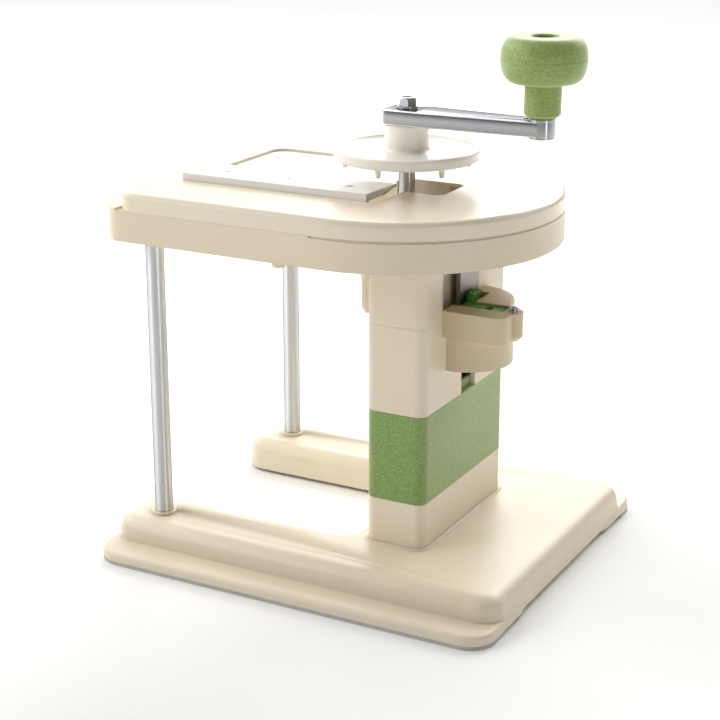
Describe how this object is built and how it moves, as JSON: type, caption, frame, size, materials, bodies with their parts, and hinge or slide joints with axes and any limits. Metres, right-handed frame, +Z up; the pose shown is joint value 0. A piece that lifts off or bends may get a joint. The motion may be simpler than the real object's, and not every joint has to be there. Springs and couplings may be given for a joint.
{
  "type": "hand-cranked cabbage shredder",
  "caption": "Hand-cranked cabbage shredder: a crank turns a pronged disk over a D-shaped slicing table with a fixed knife, on a column and steel rods over a forked base.",
  "frame": {"origin": "centre of the base's footprint, on the floor", "axes": "+X points from the fork's open end to the closed end of the base, as the crank arm does at rest; +Z points up along the shaft; Y runs across the base, and the table's knife is on its -Y side"},
  "size_m": [0.24, 0.22, 0.2925],
  "materials": {
    "cream_plastic": "moulded ivory plastic with a satin surface",
    "green_plastic": "moulded green plastic with fine straw speckles",
    "latch_green": "bright green moulded plastic",
    "white_plastic": "smooth white plastic",
    "bearing_plastic": "dark bearing plastic",
    "foot_rubber": "light grey rubber",
    "polished_steel": "polished stainless steel rod",
    "blade_steel": "ground stainless steel",
    "sheet_steel": "dull stainless sheet",
    "polished_aluminium": "polished aluminium bar",
    "steel_fastener": "plain stainless fasteners"
  },
  "bodies": {
    "frame": {"base": "cream_plastic", "front_foot_strip": "foot_rubber", "rear_foot_strip": "foot_rubber", "front_rod": "polished_steel", "rear_rod": "polished_steel", "rod_screws": "steel_fastener", "column_foot": "cream_plastic", "column_spacer": "green_plastic", "column_lower": "cream_plastic", "column_upper": "cream_plastic", "column_bolts": "steel_fastener", "shaft_guide": "white_plastic", "guide_screws": "steel_fastener", "thrust_pad": "bearing_plastic", "sleeve_ring": "steel_fastener", "table_body": "cream_plastic", "table_top": "cream_plastic", "table_screws": "steel_fastener", "thickness_plate": "white_plastic", "thickness_screws": "steel_fastener", "knife_bar": "white_plastic", "knife_blade": "blade_steel", "knife_screws": "steel_fastener", "hanger_strip": "sheet_steel", "hanger_screws": "steel_fastener", "latch_housing": "cream_plastic", "housing_screws": "steel_fastener", "latch_pin": "steel_fastener", "latch_spring": "steel_fastener"},
    "sleeve": {"guide_sleeve": "bearing_plastic"},
    "crank": {"shaft": "polished_steel", "pusher_disk": "white_plastic", "crank_arm": "polished_aluminium", "crank_washer": "steel_fastener", "crank_nut": "steel_fastener", "knob_bolt": "steel_fastener"},
    "knob": {"knob": "green_plastic"},
    "latch": {"release_latch": "latch_green"}
  },
  "joints": [
    {"name": "crank_turn", "type": "hinge", "parent": "frame", "child": "sleeve", "pos_m": [0.0195, 0, 0.18], "axis": [0, 0, 1], "continuous": true},
    {"name": "shaft_feed", "type": "slide", "parent": "sleeve", "child": "crank", "axis": [0, 0, 1], "range_m": [0, 0.1]},
    {"name": "knob_spin", "type": "hinge", "parent": "crank", "child": "knob", "pos_m": [0.097, 0, 0.27], "axis": [0, 0, 1], "continuous": true},
    {"name": "latch_release", "type": "hinge", "parent": "frame", "child": "latch", "pos_m": [0.0615, 0, 0.1415], "axis": [0, 1, 0], "range_deg": [0, 11], "stiffness_Nm_per_rad": 0.5, "springref_deg": -11.46, "deforming": ["latch_spring"]}
  ]
}
